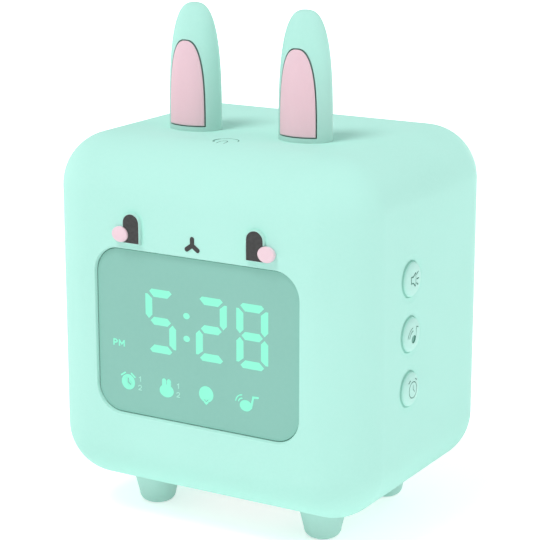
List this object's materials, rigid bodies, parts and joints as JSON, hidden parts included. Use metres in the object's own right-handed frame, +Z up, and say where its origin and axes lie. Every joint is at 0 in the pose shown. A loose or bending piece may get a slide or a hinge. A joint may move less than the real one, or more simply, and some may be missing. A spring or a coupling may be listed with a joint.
{
  "type": "kids alarm clock with night light",
  "caption": "Rounded cube alarm clock in a soft silicone sleeve, with upright ears, a small animal face, a recessed segment display, side push keys and stub feet.",
  "frame": {"origin": "on the table, under the middle of the whole clock", "axes": "+Z up, -Y out of the face, +X to the right as one looks at the face"},
  "size_m": [0.1026, 0.0838, 0.1452],
  "materials": {
    "mint_silicone": "matt",
    "milky_plastic": "satin",
    "bright_steel": "satin",
    "foot_silicone": "matt",
    "pink_silicone": "matt",
    "charcoal_silicone": "matt",
    "cheek_silicone": "satin",
    "window_plastic": "satin",
    "lit_plastic": "glowing",
    "black_plastic": "matt",
    "white_board": "satin",
    "circuit_board": "satin",
    "led_yellow": "gloss",
    "film_amber": "gloss",
    "key_silicone": "matt",
    "copper_foil": "satin",
    "cell_wrap": "satin",
    "cone_paper": "matt",
    "ferrite": "matt"
  },
  "bodies": {
    "clock": {"silicone_sleeve": "mint_silicone", "front_housing": "milky_plastic", "rear_housing": "milky_plastic", "housing_screws": "bright_steel", "base_plate": "milky_plastic", "base_screws": "bright_steel", "foot_front_left": "foot_silicone", "foot_front_right": "foot_silicone", "foot_rear_left": "foot_silicone", "foot_rear_right": "foot_silicone", "ear_left": "mint_silicone", "ear_right": "mint_silicone", "inner_ear_left": "pink_silicone", "inner_ear_right": "pink_silicone", "eye_left": "charcoal_silicone", "eye_right": "charcoal_silicone", "cheek_left": "cheek_silicone", "cheek_right": "cheek_silicone", "nose": "charcoal_silicone", "display_window": "window_plastic", "time_digits": "lit_plastic", "colon_dots": "lit_plastic", "display_mask": "black_plastic", "display_reflector": "white_board", "display_board": "circuit_board", "display_leds": "led_yellow", "display_ribbon": "film_amber", "key_board_right": "circuit_board", "key_board_left": "circuit_board", "key_switches_right": "black_plastic", "key_switches_left": "black_plastic", "light_board": "white_board", "night_light_leds": "led_yellow", "light_diffuser": "milky_plastic", "touch_electrode": "copper_foil", "main_board": "circuit_board", "control_chips": "black_plastic", "board_screws": "bright_steel", "battery": "cell_wrap", "battery_tray": "milky_plastic", "speaker_frame": "bright_steel", "speaker_cone": "cone_paper", "speaker_magnet": "ferrite", "speaker_screws": "bright_steel", "rear_panel": "milky_plastic", "rear_panel_screws": "bright_steel", "usb_socket": "bright_steel", "power_switch_body": "bright_steel", "reset_switch": "black_plastic"},
    "volume_button": {"volume_button": "key_silicone"},
    "sound_button": {"sound_button": "key_silicone"},
    "alarm_button": {"alarm_button": "key_silicone"},
    "light_button": {"light_button": "key_silicone"},
    "nap_button": {"nap_button": "key_silicone"},
    "time_button": {"time_button": "key_silicone"},
    "power_knob": {"power_switch_knob": "charcoal_silicone"}
  },
  "joints": [
    {"name": "volume_press", "type": "slide", "parent": "clock", "child": "volume_button", "axis": [-1, 0, 0], "range_m": [0, 0.0006], "stiffness_N_per_m": 1500},
    {"name": "sound_press", "type": "slide", "parent": "clock", "child": "sound_button", "axis": [-1, 0, 0], "range_m": [0, 0.0006], "stiffness_N_per_m": 1500},
    {"name": "alarm_press", "type": "slide", "parent": "clock", "child": "alarm_button", "axis": [-1, 0, 0], "range_m": [0, 0.0006], "stiffness_N_per_m": 1500},
    {"name": "light_press", "type": "slide", "parent": "clock", "child": "light_button", "axis": [1, 0, 0], "range_m": [0, 0.0006], "stiffness_N_per_m": 1500},
    {"name": "nap_press", "type": "slide", "parent": "clock", "child": "nap_button", "axis": [1, 0, 0], "range_m": [0, 0.0006], "stiffness_N_per_m": 1500},
    {"name": "time_press", "type": "slide", "parent": "clock", "child": "time_button", "axis": [1, 0, 0], "range_m": [0, 0.0006], "stiffness_N_per_m": 1500},
    {"name": "power_slide", "type": "slide", "parent": "clock", "child": "power_knob", "axis": [1, 0, 0], "range_m": [0, 0.002]}
  ]
}
